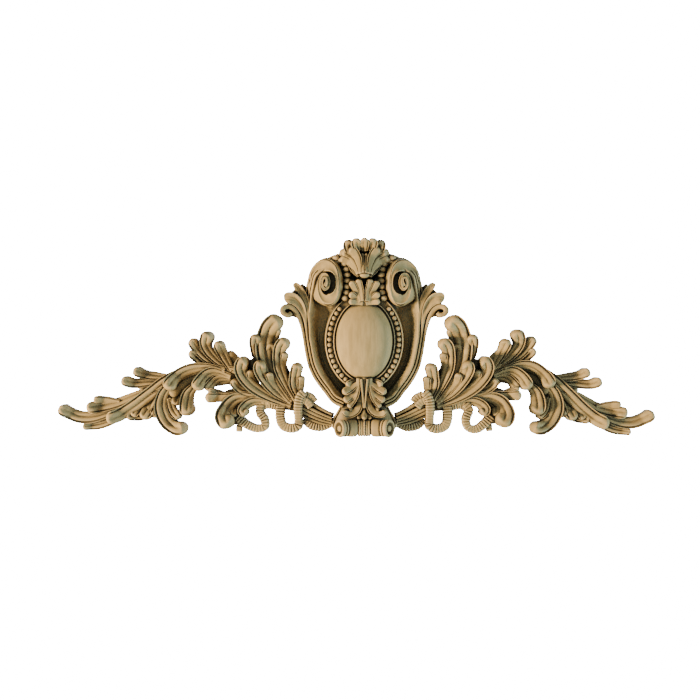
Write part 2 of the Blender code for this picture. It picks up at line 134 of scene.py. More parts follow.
sheet = bmesh.new()
bmesh.ops.create_grid(sheet, x_segments=1, y_segments=1, size=FLOOR_SIDE / 2)
bmesh.ops.translate(sheet, verts=sheet.verts, vec=(0, 0, -FLOOR_BELOW))
floor_mesh = bpy.data.meshes.new("floor")
sheet.to_mesh(floor_mesh)
sheet.free()
floor = bpy.data.objects.new("floor", floor_mesh)
bpy.context.scene.collection.objects.link(floor)

pale_floor = bpy.data.materials.new("pale_floor")
pale_floor.use_nodes = True
nodes, links = pale_floor.node_tree.nodes, pale_floor.node_tree.links
surface = nodes["Principled BSDF"]
surface.inputs["Base Color"].default_value = FLOOR_GREY
surface.inputs["Roughness"].default_value = 0.9
surface.inputs["Emission Color"].default_value = WHITE
rays = nodes.new("ShaderNodeLightPath")
glow = nodes.new("ShaderNodeMath")
glow.operation = "MULTIPLY"
glow.inputs[1].default_value = FLOOR_SEEN
links.new(rays.outputs["Is Camera Ray"], glow.inputs[0])
links.new(glow.outputs["Value"], surface.inputs["Emission Strength"])
floor_mesh.materials.append(pale_floor)
print("floor lies", FLOOR_BELOW, "m below the boss")

# %% [markdown]
# The wood. It is a fine, pale, even-grained wood with no finish, so it is dull. Over it the shader paints
# light and shade: every groove and hollow gets a painted shade of dark brown, and the high edges a painted
# highlight, the palest. The shade could be painted on each piece, but the shader can find a groove by
# itself, by how much of the sky is hidden there. It looks at two distances, one for the gouge cuts and one
# for whole hollows. Faint grain runs upright in the shield and level in the sprays.

# %% Shader parts
def mixed(tree, factor, first, second):
    """The first colour where the factor is 0 and the second where it is 1. Each is a socket or a value."""
    node = tree.nodes.new("ShaderNodeMix")
    node.data_type = "RGBA"
    for name, value in (("Factor", factor), ("A", first), ("B", second)):
        if isinstance(value, bpy.types.NodeSocket):
            tree.links.new(value, node.inputs[name])
        else:
            node.inputs[name].default_value = value
    return node.outputs["Result"]


def ramped(tree, value, start, stop):
    """A number that goes from 0 to 1 as the value goes from start to stop."""
    node = tree.nodes.new("ShaderNodeMapRange")
    node.inputs["From Min"].default_value = start
    node.inputs["From Max"].default_value = stop
    tree.links.new(value, node.inputs["Value"])
    return node.outputs["Result"]


def openness(tree, distance):
    """How open the surface is within the distance: 1 on flat wood and near 0 deep in a groove."""
    node = tree.nodes.new("ShaderNodeAmbientOcclusion")
    node.samples = 8
    node.inputs["Distance"].default_value = distance
    return node.outputs["AO"]


def cloud(tree, place, scale, detail, roughness):
    """A soft random pattern at the place."""
    node = tree.nodes.new("ShaderNodeTexNoise")
    node.inputs["Scale"].default_value = scale
    node.inputs["Detail"].default_value = detail
    node.inputs["Roughness"].default_value = roughness
    tree.links.new(place, node.inputs["Vector"])
    return node.outputs["Fac"]


# %% Wood finish
PALE_WOOD = (0.565, 0.45, 0.262, 1)
WARM_WOOD = (0.40, 0.32, 0.175, 1)
PAINTED_GROOVE_SHADE = (0.050, 0.049, 0.042, 1)
PAINTED_EDGE_HIGHLIGHT = (0.74, 0.60, 0.40, 1)
GOUGE_CUT = 5 * MM
WHOLE_HOLLOW = 30 * MM
GRAIN_DEPTH = 0.4 * MM


def carved_wood(name, grain_stretch):
    """Unfinished carved wood, with its grain along the axis that has the smallest scale."""
    material = bpy.data.materials.new(name)
    material.use_nodes = True
    tree = material.node_tree
    shader = tree.nodes["Principled BSDF"]
    shader.inputs["Roughness"].default_value = 0.62
    shader.inputs["Specular IOR Level"].default_value = 0.35

    place = tree.nodes.new("ShaderNodeTexCoord").outputs["Object"]
    stretch = tree.nodes.new("ShaderNodeMapping")
    stretch.inputs["Scale"].default_value = grain_stretch
    tree.links.new(place, stretch.inputs["Vector"])
    grain = cloud(tree, stretch.outputs["Vector"], 150, 5, 0.6)
    patches = cloud(tree, place, 9, 3, 0.5)
    edges = tree.nodes.new("ShaderNodeNewGeometry").outputs["Pointiness"]

    wood = mixed(tree, ramped(tree, patches, 0.35, 0.68), WARM_WOOD, PALE_WOOD)
    wood = mixed(tree, ramped(tree, grain, 0.62, 0.40), wood, WARM_WOOD)
    # Painted highlight: the high, sharp edges are lifted to the palest colour
    wood = mixed(tree, ramped(tree, edges, 0.52, 0.60), wood, PAINTED_EDGE_HIGHLIGHT)
    # Painted shade: gouge cuts, then whole hollows, are darkened to a dark brown where shade falls
    wood = mixed(tree, ramped(tree, openness(tree, GOUGE_CUT), 0.84, 0.30), wood, PAINTED_GROOVE_SHADE)
    wood = mixed(tree, ramped(tree, openness(tree, WHOLE_HOLLOW), 0.66, 0.14), wood, PAINTED_GROOVE_SHADE)
    tree.links.new(wood, shader.inputs["Base Color"])

    bump = tree.nodes.new("ShaderNodeBump")
    bump.inputs["Strength"].default_value = 0.25
    bump.inputs["Distance"].default_value = GRAIN_DEPTH
    tree.links.new(grain, bump.inputs["Height"])
    tree.links.new(bump.outputs["Normal"], shader.inputs["Normal"])
    print(name, "has", len(tree.nodes), "shader nodes")
    return material


UPRIGHT_GRAIN = (1, 1, 0.12)
LEVEL_GRAIN = (0.12, 1, 1)
shield_wood = carved_wood("shield_wood", UPRIGHT_GRAIN)
spray_wood = carved_wood("spray_wood", LEVEL_GRAIN)

# %% [markdown]
# The lines of the drawing. A carver pencils the pattern on the blank and cuts along it. Each line here is
# a smooth curve through a few points, measured off in even steps, so that cuts and pleats keep their
# spacing however the line bends.

# %% Smooth lines
FINE_STEPS = 160


def on_curve(points, t):
    """The point at t, from 0 to 1, on a smooth curve through the points."""
    span = t * (len(points) - 1)
    i = min(int(span), len(points) - 2)
    f = span - i
    a, b = points[i], points[i + 1]
    before = points[i - 1] if i else 2 * a - b
    after = points[i + 2] if i + 2 < len(points) else 2 * b - a
    pull = (b - before) * f + (2 * before - 5 * a + 4 * b - after) * f**2
    pull = pull + (3 * a - before - 3 * b + after) * f**3
    return a + 0.5 * pull


def even_line(points, step):
    """Points and directions at an even step along the smooth curve, with the distance run so far."""
    fine = [on_curve(points, k / FINE_STEPS) for k in range(FINE_STEPS + 1)]
    run = [0.0]
    for a, b in zip(fine, fine[1:]):
        run.append(run[-1] + (b - a).length)
    count = max(6, round(run[-1] / step))
    line, i = [], 0
    for k in range(count + 1):
        target = run[-1] * k / count
        while i < FINE_STEPS - 1 and run[i + 1] < target:
            i += 1
        share = (target - run[i]) / max(run[i + 1] - run[i], 1e-9)
        line.append((fine[i].lerp(fine[i + 1], share), (fine[i + 1] - fine[i]).normalized(), target))
    return line


bow = even_line([Vector((0, 0)), Vector((30 * MM, 12 * MM)), Vector((60 * MM, 0))], 5 * MM)
print("a trial bow is", round(bow[-1][2] / MM, 1), "mm long, in", len(bow) - 1, "steps")


# %% Even rises
def smooth(x):
    """0 below 0, 1 above 1, and an even rise between."""
    x = min(max(x, 0), 1)
    return x * x * (3 - 2 * x)


print("smooth rise at quarters:", [round(smooth(k / 4), 2) for k in range(5)])

# %% [markdown]
# Sweeps. A gouge run along a line leaves one section all along it, so each finger, rib and ribbon is made
# as a sweep. Curves with a bevel could do it, but their section can't change on the way as a carver's
# does. So a bmesh grid is made with a column for each point of the section and a row for each station,
# moved into place, and welded along its seam. The ring goes straight down to the back at both edges.

# %% Rings and skins
def ring(middle, reach, back, section):
    """One ring of a sweep: pairs of a share of the reach and a rise over the wall, closed at the back."""
    full = [(-1, back)] + section + [(1, back)]
    return [Vector((middle.x + reach.x * u, -rise, middle.y + reach.y * u)) for u, rise in full]


def skin(rows):
    """A bmesh grid laid over rows of points. Its rows are rings, and its ends are capped."""
    bm = bmesh.new()
    step = len(rows[0]) + 1
    grid = bmesh.ops.create_grid(bm, x_segments=step - 1, y_segments=len(rows) - 1, size=1)["verts"]
    for r, row in enumerate(rows):
        for c, point in enumerate(row + row[:1]):
            grid[r * step + c].co = point
    seam = grid[::step] + grid[step - 1 :: step]
    bmesh.ops.remove_doubles(bm, verts=seam, dist=1e-7)
    bmesh.ops.holes_fill(bm, edges=[e for e in bm.edges if e.is_boundary], sides=0)
    bmesh.ops.recalc_face_normals(bm, faces=bm.faces)
    return bm


bar = skin([ring(Vector((0, y)), Vector((1, 0)), 0, [(-1, 1), (1, 1)]) for y in (0, 1, 2)])
print("a trial bar in two lengths has", len(bar.faces), "faces")
bar.free()


# %% Finished pieces
def add_to(whole, part):
    """Adds one bmesh to another and frees it."""
    carrier = bpy.data.meshes.new("carrier")
    part.to_mesh(carrier)
    part.free()
    whole.from_mesh(carrier)
    bpy.data.meshes.remove(carrier)


def finish_piece(name, bm, material):
    """Makes the bmesh a smooth-shaded piece that stands for the solid of its own side."""
    mesh = bpy.data.meshes.new(name)
    for face in bm.faces:
        face.smooth = True
    bm.to_mesh(mesh)
    bm.free()
    mesh.materials.append(material)
    piece = bpy.data.objects.new(name, mesh)
    bpy.context.scene.collection.objects.link(piece)
    node = "left_spray" if "left" in name else "right_spray" if "right" in name else "shield"
    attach(piece, "root")
    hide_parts(node)
    print(name, len(mesh.polygons), "faces")

# %% [markdown]
# A leaf finger. In acanthus work each finger is hollowed with a gouge, so that a rim is left standing on
# the outside of its bend, and it swells to a rounded tip that curls towards you. A section is a row of
# places across, in half widths from the inside of the bend to the outside, and one of drops below the
# crest, also in half widths. The carved sections slope from the rim down to the inside, with a cut along
# the rim and, on a broad finger, a second one. The plain section is crowned.

# %% Finger sections
ACROSS = (
    -1.0, -0.98, -0.90, -0.80, -0.66, -0.50, -0.34, -0.20, -0.10, 0.02,
    0.16, 0.32, 0.48, 0.62, 0.74, 0.84, 0.92, 0.98, 1.0,
)
CROWNED = (
    1.4, 0.74, 0.46, 0.31, 0.19, 0.10, 0.04, 0.01, 0.0, 0.0,
    0.01, 0.04, 0.10, 0.17, 0.25, 0.36, 0.50, 0.78, 1.4,
)
ONE_CUT = (
    1.6, 1.02, 0.76, 0.68, 0.60, 0.52, 0.45, 0.39, 0.35, 0.30,
    0.25, 0.20, 0.18, 0.34, 0.60, 0.14, 0.0, 0.36, 1.4,
)
TWO_CUTS = (
    1.6, 1.04, 0.78, 0.70, 0.62, 0.56, 0.58, 0.72, 0.62, 0.34,
    0.27, 0.22, 0.20, 0.36, 0.62, 0.14, 0.0, 0.36, 1.4,
)
BROAD_FINGER = 13 * MM
LOWEST_EDGE = 2 * MM
FINGER_STEP = 1.5 * MM
print("a finger's section has", len(ACROSS), "points, and a broad finger is over", BROAD_FINGER / MM, "mm")

# %% Backs and bends
BACK_STEP = 0.05 * MM
BACKS = 32
swept = [0]


def back_depth():
    """The depth of a sweep's own back. Each is a hair off the last, so no two backs lie in one plane."""
    swept[0] += 1
    return (1 + swept[0] % BACKS) * BACK_STEP


def bend_side(points):
    """1 where the line bends to the left as drawn, and -1 where it bends to the right."""
    first, last = points[1] - points[0], points[-1] - points[-2]
    return 1 if first.x * last.y - first.y * last.x >= 0 else -1


print("backs lie", BACK_STEP / MM, "to", round(BACKS * BACK_STEP / MM, 2), "mm off the wall")

# %% One leaf finger
BELLY = 0.55
BLUNT = 0.985
TIP_FALL = 1.2


def leaf_finger(whole, points, widths, rises, gouge=1.0, curl=0.55):
    """Adds one finger. Points are (across, up) on the wall, widths are at root, belly and tip, and rises
    are over the wall at root and tip. All are in metres. Gouge is the share of the hollow and curl lifts
    the tip, as a share of its half width."""
    points = [Vector(p) for p in points]
    bow = bend_side(points)
    line = even_line(points, FINGER_STEP)
    length = line[-1][2]
    root, belly, tip = widths
    end = tip / 2
    back = back_depth()
    cuts = TWO_CUTS if belly > BROAD_FINGER else ONE_CUT
    rows = []
    for point, direction, run in line:
        s = run / length
        width = root + (belly - root) * smooth(s / BELLY) + (tip - belly) * smooth((s - BELLY) / (1 - BELLY))
        half = width / 2
        # How far the tip still is, in half widths of it: there the finger swells up and then rounds off
        left = (length - run) / end
        past = min(max(1 - left, 0), BLUNT)
        rounding = sqrt(1 - past * past)
        rise = rises[0] + (rises[1] - rises[0]) * smooth(s)
        rise += curl * end * smooth(1.2 - abs(left - 0.9) / 1.5) - end * TIP_FALL * (1 - rounding)
        hollow = gouge * smooth(s / 0.2 + 0.4) * smooth(left - 0.45)
        reach = Vector((direction.y, -direction.x)) * bow * half * rounding
        section = []
        for u, crown, cut in zip(ACROSS, CROWNED, cuts):
            drop = (crown * (1 - hollow) + cut * hollow) * half
            section.append((u, max(rise - drop, back + LOWEST_EDGE)))
        rows.append(ring(point, reach, back, section))
    add_to(whole, skin(rows))


def leaf(whole, fingers, place, square, rise, **cut):
    """Adds the fingers of a leaf, drawn on squares that the place function turns to metres."""
    for points, widths, rises in fingers:
        on_wall = [place(x, z) for x, z in points]
        leaf_finger(whole, on_wall, [w * square for w in widths], [r * rise for r in rises], **cut)


print("a finger is fullest at", BELLY, "of its length")

# %% [markdown]
# The sprays. Each is drawn on squares of 1.5 mm, counted out from the butt joint at the rolled base and
# up from its axis. Stalks leave the base, pass under a ribbon, and open into a first leaf with a tall
# plume. A second leaf springs from its edge, and a tail runs out to the tip. The two sprays were carved
# by hand and aren't quite alike: the left one reaches further and lifts at its tip, as in the CAD. So one
# drawing serves both, and a setting shifts each part of it on each side.

# %% Spray squares and settings
SQUARE = 1.5 * MM
BASE_AXIS = -129 * MM
JOINT = 48.3 * MM
SPRAY_RISE = 34 * MM
# How far each spray lies out and up from the drawing, in squares, at places along it
SETTING = {
    1: [
        (0, 0, 0), (60, -0.5, 0.5), (90, -2, 1), (120, -3.5, 1.5), (150, -4.5, 1.5), (200, -5, 0.5),
        (262, -8, -1),
    ],
    -1: [
        (0, 0, 0), (60, 0, 1.3), (90, -1.5, 0.5), (106, -5, 0), (127, -2.2, -1),
        (150, 5, -1.5), (175, 6, 1), (200, 7, 5.3), (262, 7.5, 4.4),
    ],
}
SECOND_LEAF_SETTING = {1: [(0, -2, 1.5)], -1: [(0, 1.5, -0.5)]}
HANGING_SETTING = {1: [(0, -4, -0.7)], -1: [(0, -0.2, -1.5)]}
HOOK_SETTING = {1: [(0, -4.5, 1.5)], -1: [(0, 6, 1)]}
UPPER_TIPS_SETTING = {1: [(0, -3, 1)], -1: [(0, 2, 2)]}


def on_spray(side, setting=SETTING):
    """Turns a spray's squares to a place on the wall: side is 1 on the right and -1 on the left."""
    knots = setting[side]

    def place(x, z):
        out, up = knots[0][1:]
        for (a, out_a, up_a), (b, out_b, up_b) in zip(knots, knots[1:]):
            if x > a:
                share = min((x - a) / (b - a), 1)
                out, up = out_a + (out_b - out_a) * share, up_a + (up_b - up_a) * share
        return side * (JOINT + (x + out) * SQUARE), BASE_AXIS + (z + up) * SQUARE

    return place


for side in (1, -1):
    print("the tip of the drawing lands", round(on_spray(side)(262, 17)[0] / MM), "mm from the boss")

# %% Ground and stalks
# Each finger: its points, its widths at root, belly and tip, and its rises at root and tip.
# The ground is low and broad, and no light shows between the fingers over it.
GROUND = [
    ([(34, 26), (48, 44), (54, 66)], (8, 20, 14), (0.20, 0.28)),
    ([(54, 56), (62, 80), (60, 98)], (12, 16, 10), (0.24, 0.34)),
    ([(58, 40), (73, 54), (83.5, 66.5)], (10, 16, 11), (0.24, 0.30)),
    ([(70, 30), (92, 42), (106, 52), (112, 62)], (10, 16, 14), (0.22, 0.28)),
    ([(80, 32), (100, 32), (116, 30)], (8, 14, 8), (0.24, 0.30)),
    ([(84, 26), (98, 14), (96, 2)], (8, 14, 14), (0.24, 0.30)),
    ([(108, 54), (126, 54), (144, 46), (157, 32)], (8, 14, 12), (0.22, 0.28)),
    ([(150, 40), (166, 40), (186, 36)], (10, 14, 8), (0.22, 0.28)),
    ([(92, 54), (108, 47), (124, 44)], (6, 8, 7), (0.22, 0.28)),
    ([(88, 56), (99, 66), (108, 76)], (6, 10, 8), (0.22, 0.28)),
    ([(160, 34), (172, 20), (178, 12)], (12, 14, 8), (0.20, 0.26)),
]
STALKS = [
    ([(-0.5, 7.4), (14, 12.6), (36, 23.6)], (14, 15.5, 15), (0.34, 0.38)),
    ([(-0.5, 13), (13, 20), (34, 32.4)], (2.0, 3.2, 4), (0.62, 0.66)),
    ([(-0.5, 9.6), (14, 15.6), (36, 26.8)], (1.9, 2.8, 3.4), (0.68, 0.72)),
    ([(-0.5, 7.2), (14, 12.2), (36, 22.6)], (1.9, 2.8, 3.4), (0.68, 0.72)),
    ([(-0.5, 4.8), (14, 8.8), (36, 18.6)], (1.9, 2.6, 3.2), (0.64, 0.70)),
    ([(-0.5, 2.6), (14, 5.6), (38, 15)], (1.9, 2.6, 3.2), (0.56, 0.62)),
    ([(30, 18.5), (48, 22), (66, 24.5)], (9, 11, 9), (0.40, 0.44)),
]
print("ground", len(GROUND), "and stalks", len(STALKS))

# %% First leaf
FIRST_LEAF = [
    ([(31, 28), (37, 43), (33, 64)], (8, 11, 12), (0.56, 0.84)),
    ([(31, 31), (30.5, 42), (29.5, 51)], (5, 7, 7), (0.46, 0.62)),
    ([(36, 26), (45, 42), (52, 60), (51, 77), (43, 87)], (6, 11, 13), (0.56, 0.90)),
    ([(50, 50), (48.5, 62), (45.5, 74)], (5, 7, 7), (0.52, 0.70)),
    ([(42, 27), (56, 48), (62, 68), (59, 84)], (10, 18, 12), (0.44, 0.52)),
    ([(43, 26), (56, 43), (64.5, 62), (67, 82), (61.5, 98), (49.5, 108)], (6, 17, 17), (0.60, 0.98)),
    ([(66, 54), (74, 70), (76.3, 82), (73.8, 92)], (6, 10.5, 11.5), (0.64, 0.84)),
    ([(60, 80), (56, 91), (52, 98)], (5, 9, 8), (0.56, 0.76)),
    ([(40, 24), (55, 34), (67, 48), (71, 58), (67, 65)], (6, 11, 12), (0.60, 0.98)),
    ([(54, 36), (60, 46), (61, 54)], (5, 8, 7), (0.56, 0.78)),
    ([(40, 21), (61, 29), (80, 41), (90, 54), (89, 63), (83, 67)], (6, 12, 13), (0.60, 1.00)),
    ([(72, 37), (80, 48), (81, 57)], (5, 8, 7), (0.56, 0.78)),
    ([(72, 30), (88, 35.5), (97.5, 41.5), (99.5, 48.5)], (6, 9, 8), (0.54, 0.72)),
    ([(46, 20), (68, 28), (91, 32), (108, 30.5), (127.5, 31)], (5, 8, 11), (0.60, 0.62)),
    ([(106, 31), (116, 35), (125, 37.5)], (4, 6, 7), (0.50, 0.62)),
    ([(74, 28), (93, 29.5), (106, 24), (111, 13), (103.5, 0.5)], (7, 14, 18), (0.56, 0.90)),
    ([(93, 26), (101, 20), (100, 10)], (6, 9, 9), (0.44, 0.58)),
    ([(56, 22), (73, 25.5), (84, 23), (89, 17), (84, 12.5)], (6, 10, 10), (0.54, 0.72)),
]
print("first leaf", len(FIRST_LEAF))

# %% Second leaf and its scrolls
SECOND_LEAF = [
    ([(97, 57), (104, 69), (109, 80), (109, 87)], (6, 10, 11), (0.50, 0.66)),
    ([(100, 58), (114, 69), (123, 82), (119, 96)], (5, 10, 13), (0.48, 0.76)),
    ([(104, 58), (121, 68), (132, 79), (137, 89)], (5, 9, 10), (0.46, 0.64)),
    ([(110, 58), (124, 64), (133, 70), (138.5, 77)], (5, 9, 8), (0.42, 0.56)),
]
SCROLLS = [
    ([(110, 57), (126, 61), (140, 59), (151, 50), (156, 38)], (6, 11, 13), (0.54, 0.80)),
]
HANGING = [
    ([(100, 51), (114, 50), (125, 38.5)], (6, 9, 9), (0.42, 0.56)),
    ([(100, 52), (116, 57), (127, 52), (134.5, 38.5)], (6, 11, 13), (0.50, 0.76)),
    ([(135, 44), (142.5, 35), (144, 24), (140.5, 13.5)], (8, 13, 15), (0.50, 0.70)),
]
HOOK = [
    ([(138, 46), (148, 36), (150, 20)], (8, 14, 10), (0.22, 0.26)),
    ([(156, 28), (152, 16), (144, 8)], (6, 9, 8), (0.40, 0.50)),
    ([(151, 45), (161, 32), (163, 18), (157, 5), (147, -1.5), (137, 0)], (9, 14, 13), (0.52, 0.74)),
]
print("second leaf", len(SECOND_LEAF), "and under it", len(SCROLLS + HANGING + HOOK))

# %% Upper tips and tail
UPPER_TIPS = [
    ([(158, 48), (172, 49), (184, 51), (194, 56)], (6, 9, 10), (0.42, 0.58)),
    ([(160, 44), (180, 43), (195, 42), (206, 46.5)], (6, 10, 10), (0.38, 0.54)),
]
TAIL = [
    ([(180, 28), (186, 16), (191, 7)], (8, 10, 8), (0.30, 0.38)),
    ([(168, 38), (173, 22), (181, 6)], (12, 14, 11), (0.34, 0.46)),
    ([(160, 36), (166, 22), (171, 9)], (10, 10, 9), (0.34, 0.42)),
    ([(162, 42), (184, 30.5), (203, 20), (220, 16), (236, 15)], (7, 11, 12), (0.46, 0.52)),
    ([(203, 20), (217, 22.3), (229, 23.2)], (5, 7, 8), (0.42, 0.48)),
    ([(206, 12), (226, 6), (241, 5.5), (253, 10), (262, 17)], (8, 12, 11), (0.44, 0.56)),
    ([(200, 6), (222, -2), (240, -4)], (6, 9, 7), (0.36, 0.40)),
    ([(170, 14), (184, 9), (197, 6)], (8, 10, 7), (0.30, 0.36)),
    (
        [(96, 56), (119, 60), (140, 57), (158, 47), (174, 33), (192, 16), (207, 6), (216, 4)],
        (7, 13, 13), (0.50, 0.62),
    ),
]
print("upper tips", len(UPPER_TIPS), "and tail", len(TAIL))


# %% Carve the two sprays
def spray_leaf(whole, fingers, side, setting=SETTING, **cut):
    """Adds a leaf that is drawn in squares on a spray."""
    leaf(whole, fingers, on_spray(side, setting), SQUARE, SPRAY_RISE, **cut)


for name, side in (("right_leaves", 1), ("left_leaves", -1)):
    spray = bmesh.new()
    spray_leaf(spray, GROUND, side, gouge=0)
    spray_leaf(spray, STALKS, side, gouge=0.5)
    spray_leaf(spray, FIRST_LEAF, side, curl=0.8)
    spray_leaf(spray, SECOND_LEAF, side, SECOND_LEAF_SETTING, curl=0.9)
    spray_leaf(spray, UPPER_TIPS, side, UPPER_TIPS_SETTING, curl=1.0)
    spray_leaf(spray, HANGING, side, HANGING_SETTING)
    spray_leaf(spray, HOOK, side, HOOK_SETTING)
    spray_leaf(spray, TAIL + SCROLLS, side, curl=0.85)
    finish_piece(name, spray, spray_wood)

# %% [markdown]
# The ribbons. A flat ribbon ties the stalks and hangs from the knot in two loops. The carver pleated it
# with small cuts across its width, close together. A wave on the crest of a sweep gives the same folds:
# the crest rises and falls along the line, and the edges move out and in a little with it.

# %% Ribbon lines
# Each ribbon: its points in the spray's squares, and its width and rise in mm
TIE = [(27, 35), (31, 30), (32.8, 20), (32.5, 5)]
TIE_WIDTH = 12
TIE_RISE = 28
RIBBONS = [
    ([(1, 4), (7, 1), (13, 0), (21, 2), (28, 8)], 11, 15),
    ([(32, 8), (33.5, 1), (40, -1.5), (48, 1), (51, 9), (50.5, 20)], 13, 18),
    ([(50, 18), (56, 21.3), (66, 21.8), (73, 17)], 13.5, 16),
    ([(90.5, 6), (94, 1), (94.5, -4.5)], 8, 14),
]
# The second loop hangs further out on the right than on the left
SECOND_LOOP = {
    1: [(69, 23), (73, 17), (69.8, 7.5), (72.2, -0.6), (80.5, -2.4), (89, 3), (96, 11)],
    -1: [(71.5, 22), (71.5, 14), (67, 7), (67, -0.5), (76, -1.5), (86, 3), (95, 10)],
}
SECOND_LOOP_WIDTH = 11.5
SECOND_LOOP_RISE = 17.5
KNOT = [
    ([(16.5, 25), (20.5, 30), (26.5, 32.5)], 10, 25),
    ([(20, 20.5), (24, 25.5), (30, 27.5)], 10, 28),
]
print("ribbon pieces on each side:", len(RIBBONS + KNOT) + 2)

# %% Pleated bands
PLEAT = 4.1 * MM
FOLD_RISE = 3.0 * MM
RIBBON_ACROSS = (-1.0, -0.98, -0.88, -0.45, 0.0, 0.45, 0.88, 0.98, 1.0)
RIBBON_DROP = (5.0, 1.3, 0.3, 0.0, 0.1, 0.0, 0.3, 1.3, 5.0)


def pleated_band(whole, points, width, rise, crown=1):
    """A ribbon that stands on the wall along the points, pleated across. Crown bows its face more."""
    back = back_depth()
    rows = []
    for point, direction, run in even_line([Vector(p) for p in points], PLEAT / 8):
        uneven = 0.62 + 0.38 * sin(run / (1.9 * PLEAT) + width / MM)
        fold = FOLD_RISE * uneven * abs(sin(pi * run / PLEAT)) ** 0.6
        reach = Vector((direction.y, -direction.x)) * (width / 2 + fold / 4)
        section = [(u, rise + fold - drop * crown * MM) for u, drop in zip(RIBBON_ACROSS, RIBBON_DROP)]
        rows.append(ring(point, reach, back, section))
    add_to(whole, skin(rows))


print("one pleat is", round(PLEAT / MM, 1), "mm long")

# %% Carve the ribbons
for name, side in (("right_ribbon", 1), ("left_ribbon", -1)):
    ribbon = bmesh.new()
    place = on_spray(side)
    pleated_band(ribbon, [place(*p) for p in TIE], TIE_WIDTH * MM, TIE_RISE * MM, crown=2)
    second_loop = (SECOND_LOOP[side], SECOND_LOOP_WIDTH, SECOND_LOOP_RISE)
    for points, width, rise in RIBBONS + KNOT + [second_loop]:
        pleated_band(ribbon, [place(*p) for p in points], width * MM, rise * MM)
    finish_piece(name, ribbon, spray_wood)

# %% [markdown]
# The shield's ground is one form round the boss, from its outer edge to the boss's edge: a rounded rim
# with two grooves, a field that falls inwards, and the frame of the boss with its channel. A turner would
# cut it as a profile, but the outline isn't round. So rings of points are laid at set distances inside
# the outline or outside the boss, and skinned in order, which keeps each moulding at its own width.

# %% Shield outline
BOSS_HALF_WIDTH = 41.5 * MM
BOSS_HALF_HEIGHT = 57 * MM
PANEL_HALF_WIDTH = 92.5 * MM
PANEL_TOP = 124 * MM
PANEL_BOTTOM = 102 * MM
OUTLINE_STEPS = 240
# The right half, from the foot to the top, in shares of the half width and of the top or the bottom
PANEL_OUTLINE = [
    (0.00, -1.00), (0.43, -0.95), (0.67, -0.72), (0.82, -0.53), (0.92, -0.30), (1.00, 0.12),
    (1.00, 0.36), (0.91, 0.73), (0.80, 0.89), (0.42, 1.045), (0.00, 1.02),
]
outline = []
for x, z in PANEL_OUTLINE:
    outline.append(Vector((x * PANEL_HALF_WIDTH, z * (PANEL_TOP if z > 0 else PANEL_BOTTOM))))
outline_fine = [on_curve(outline, k / OUTLINE_STEPS) for k in range(OUTLINE_STEPS + 1)]


def panel_radius(angle):
    """Distance from the boss's centre to the shield's outline along the angle."""
    angle = atan2(sin(angle), abs(cos(angle)))
    for a, b in zip(outline_fine, outline_fine[1:]):
        low, high = atan2(a.y, a.x), atan2(b.y, b.x)
        if low <= angle <= high:
            return a.lerp(b, (angle - low) / max(high - low, 1e-9)).length
    return outline_fine[-1 if angle > 0 else 0].length


def boss_radius(angle):
    """Distance from the boss's centre to its own edge along the angle."""
    return 1 / hypot(cos(angle) / BOSS_HALF_WIDTH, sin(angle) / BOSS_HALF_HEIGHT)


print("shield reaches", round(panel_radius(0) / MM), "mm out and", round(panel_radius(pi / 2) / MM), "up")

# %% Shield mouldings
# Both profiles are pairs in mm: distance inside the outline or outside the boss, and rise over the wall
RIM_PROFILE = [
    (0, 8), (0, 16), (0.8, 20), (2.4, 21.5), (4.2, 20.5), (5.6, 16.5), (6.6, 20), (7.6, 23), (8.8, 22.5),
    (9.8, 19.5), (10.8, 23), (12, 26), (13.4, 26), (15.2, 23.5), (18, 19),
]
FRAME_PROFILE = [
    (24.0, 8.0), (21.0, 8.6), (18.6, 11.0), (17.2, 17.0), (16.4, 24.0), (15.8, 27.6), (15.0, 29.0),
    (14.3, 28.2), (13.7, 25.2), (12.8, 24.0), (5.4, 24.0), (4.6, 24.8), (4.0, 28.2), (3.2, 29.2),
    (2.3, 28.2), (1.7, 24.6), (-4.0, 24.0),
]
RIM_WIDTH = RIM_PROFILE[-1][0]
FRAME_REACH = FRAME_PROFILE[0][0]
FIELD_RISE = 8.5 * MM
SHOULDER_RISE = 23 * MM


def shoulder(angle):
    """Rise of the ground: low in the field, and swelling behind the volutes."""
    return FIELD_RISE + (SHOULDER_RISE - FIELD_RISE) * smooth((sin(angle) - 0.62) / 0.2)


print("rim is", RIM_WIDTH, "mm wide and the boss's frame", FRAME_REACH, "mm")

# %% Rim of the shield
GROUND_SIDES = 360
angles = [2 * pi * k / GROUND_SIDES for k in range(GROUND_SIDES)]
outer = [panel_radius(a) for a in angles]
inner = [boss_radius(a) for a in angles]
ground_rows = []


def ground_ring(distances, rises):
    """Lays one ring of the ground at the distances from the boss's centre."""
    spots = zip(angles, distances, rises)
    ground_rows.append([Vector((r * cos(a), -up, r * sin(a))) for a, r, up in spots])


ground_ring(outer, [0] * GROUND_SIDES)
for inset, rise in RIM_PROFILE:
    swell = sqrt(inset / RIM_WIDTH)
    rises = [rise * MM + (shoulder(a) - FIELD_RISE) * swell for a in angles]
    ground_ring([r - inset * MM for r in outer], rises)
print("rim laid in", len(ground_rows), "rings")

# %% Field and frame
FIELD_SHARES = (0.06, 0.15, 0.26, 0.38, 0.5, 0.65, 0.8, 0.93)
SCALLOPS = 30
SCALLOP_RISE = 1.2 * MM
COVE_RISE = 10.5 * MM
FIELD_DIP = 2 * MM
FRAME_FOOT = 20
# Where the shield is narrow, the frame is squeezed against the rim, to this gap and these steps in mm
SQUEEZED_GAP = 1.5
SQUEEZED_STEP = 0.05

